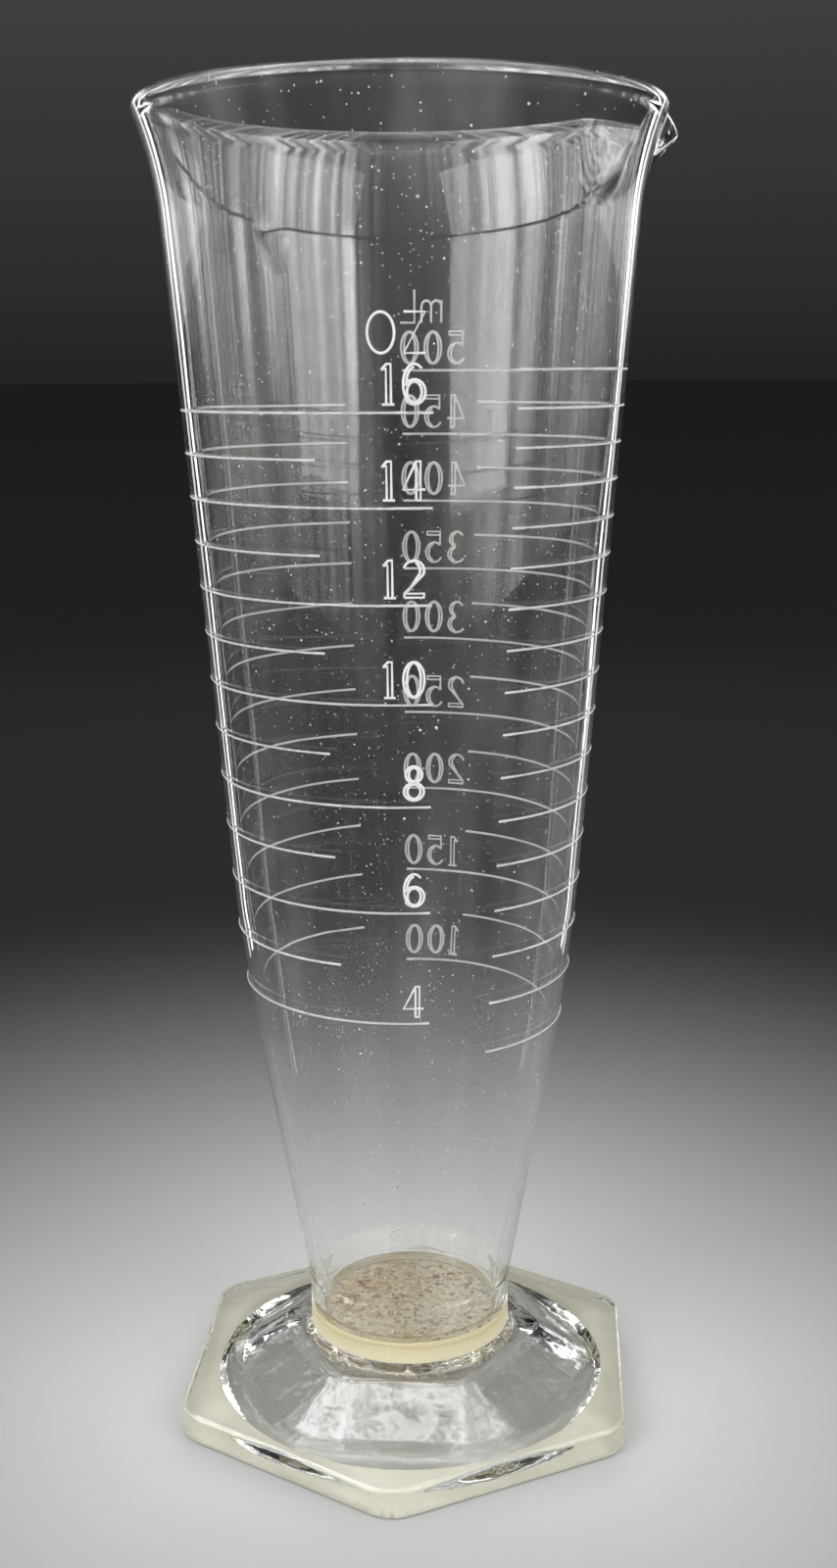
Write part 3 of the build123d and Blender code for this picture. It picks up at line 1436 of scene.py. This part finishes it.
@dataclass
class Studio:
    """The pale floor, the world, the lamps and the camera."""

    floor_radius: float = 40.0
    floor_drop: float = 0.0002
    fill: float = 0.80
    backdrop: float = 0.0176
    backdrop_rise: float = 0.036
    camera_place: tuple[float, float, float] = (0.00222, -0.32986, 0.20235)
    camera_tilt: float = 71.21
    camera_roll: float = -0.357
    focal_pixels: float = 1809.57
    horizon_shift: float = 0.1217
    frame_height: int = 1600
    softboxes: tuple[Softbox, ...] = (
        Softbox("left_softbox", -138.0, 0.50, 0.75, 0.60, 0.60, 4.4),
        Softbox("right_softbox", -42.0, 0.50, 0.75, 0.60, 0.60, 3.6),
        Softbox("back_softbox", 90.0, 0.60, 0.80, 0.80, 0.40, 3.0, through_glass=False),
        Softbox("left_strip", 130.0, 0.17, 0.26, 0.018, 0.34, 0.042, aim_height=0.17, mirrored=True),
        Softbox("right_strip", 50.0, 0.17, 0.26, 0.018, 0.34, 0.042, aim_height=0.17, mirrored=True),
    )
    side_glows: tuple[Glow, ...] = (
        Glow(-158.0, 20.0, 8.0, 4.2),
        Glow(-36.0, 20.0, 9.0, 4.0),
        Glow(158.0, 16.0, 14.0, 2.6),
        Glow(22.0, 16.0, 14.0, 2.6),
        Glow(-60.0, 10.0, 260.0, 4.5),
        Glow(-10.0, 10.0, 320.0, 6.0),
        Glow(8.0, 10.0, 420.0, 6.0),
        Glow(172.0, 10.0, 320.0, 5.0),
        Glow(122.0, 10.0, 140.0, 6.5),
        Glow(58.0, 10.0, 140.0, 6.5),
        Glow(-152.0, 42.0, 9.0, 3.0),
        Glow(-26.0, 42.0, 9.0, 3.0),
    )
    high_glows: tuple[Glow, ...] = (
        Glow(-98.0, 80.0, 14.0, 8.0),
        Glow(169.0, 58.0, 40.0, 9.0),
        Glow(11.0, 58.0, 50.0, 4.0),
    )
    streak_scale: float = 10.0
    cloud_scale: float = 12.0

    def build_floor(self, paints: Paints) -> bpy.types.Object:
        """Lays the floor.

        Args:
            paints: The shared materials.

        Returns:
            The floor.
        """
        Bench.clear()
        bpy.ops.mesh.primitive_circle_add(
            vertices=96, radius=self.floor_radius, fill_type="NGON", location=(0, 0, -self.floor_drop)
        )
        floor = Bench.named("studio_floor")
        floor.data.materials.append(paints.of(Finish.FLOOR))
        return floor

    def build_world(self) -> None:
        """Makes a plain dark backdrop, soft panels for the glass to mirror and an even fill light."""
        studio = bpy.data.worlds.new("studio")
        bpy.context.scene.world = studio
        studio.use_nodes = True
        world = Nodes(studio.node_tree)
        path = world.node("ShaderNodeLightPath").outputs
        view = world.node("ShaderNodeTexCoord").outputs["Generated"]
        level = world.node("ShaderNodeVectorMath", {"operation": "MULTIPLY"}, {0: view, 1: (1.0, 1.0, 0.0)})
        around = world.node("ShaderNodeVectorMath", {"operation": "NORMALIZE"}, {0: level.outputs[0]})
        noise = world.node(
            "ShaderNodeTexNoise", inputs={"Vector": around.outputs[0], "Scale": self.streak_scale, "Detail": 4.0}
        )
        streaks = world.value(noise.outputs[0]).above(0.42, 0.60)
        sheen = world.node("ShaderNodeTexNoise", inputs={"Vector": view, "Scale": self.cloud_scale, "Detail": 4.0})
        clouds = world.value(sheen.outputs[0]).above(0.38, 0.60)
        climb = world.value(world.node("ShaderNodeSeparateXYZ", inputs={0: view}).outputs["Z"])
        sides = sum((glow.shine(world, view) for glow in self.side_glows), 0.0)
        tops = sum((glow.shine(world, view) for glow in self.high_glows), 0.0)
        fade = 0.45 + climb.above(0.0, 0.25) * 0.55
        panels = sides * (0.2 + streaks * 1.5) * fade + tops * (0.45 + clouds * 0.9)
        mirrored = world.value(path["Is Glossy Ray"]) + world.value(path["Is Transmission Ray"])
        lighting = world.value(path["Diffuse Depth"]).clamped()
        seen = self.backdrop + climb.above(0.0, 0.2) * self.backdrop_rise + panels * mirrored.clamped()
        strength = lighting * self.fill + (1.0 - lighting) * seen
        shown = world.node("ShaderNodeBackground", inputs={"Color": (1.0, 1.0, 1.0), "Strength": strength})
        world.node("ShaderNodeOutputWorld", inputs={"Surface": shown.outputs[0]})

    def build_camera(self) -> bpy.types.Object:
        """Sets the camera where the photograph was taken from.

        Returns:
            The camera.
        """
        data = bpy.data.cameras.new("camera")
        data.sensor_width = 36.0
        data.lens = self.focal_pixels * data.sensor_width / self.frame_height
        data.shift_y = self.horizon_shift
        data.clip_start = 0.01
        data.clip_end = 50.0
        camera = bpy.data.objects.new("camera", data)
        bpy.context.scene.collection.objects.link(camera)
        camera.location = self.camera_place
        tilt = Matrix.Rotation(math.radians(self.camera_tilt), 3, "X")
        roll = Matrix.Rotation(math.radians(self.camera_roll), 3, "Z")
        camera.rotation_euler = (tilt @ roll).to_euler()
        bpy.context.scene.camera = camera
        return camera

    def build(self, paints: Paints) -> None:
        """Sets up everything round the object.

        Args:
            paints: The shared materials.
        """
        self.build_floor(paints)
        self.build_world()
        for softbox in self.softboxes:
            softbox.build()
        self.build_camera()
        bpy.context.scene.view_settings.view_transform = "Standard"


def main() -> None:
    """Builds the graduate and its studio."""
    logging.basicConfig(level=logging.INFO, format="%(name)s %(message)s")
    paints = Paints()
    cup = Cup()
    glass = cup.build()
    cup.dress(glass, paints)
    ounces = Scale("ounce", "ounce_lines", cup, 4, 1, 2, -84.3, "oz", 0.2050)
    ounces.build(paints)
    millilitres = Scale("millilitre", "millilitre_lines", cup, 100, 25, 50, 90.8, "mL", 0.2114)
    millilitres.build(paints)
    Cement().build(paints)
    Foot().build(paints)
    Studio().build(paints)


if __name__ == "__main__":
    main()
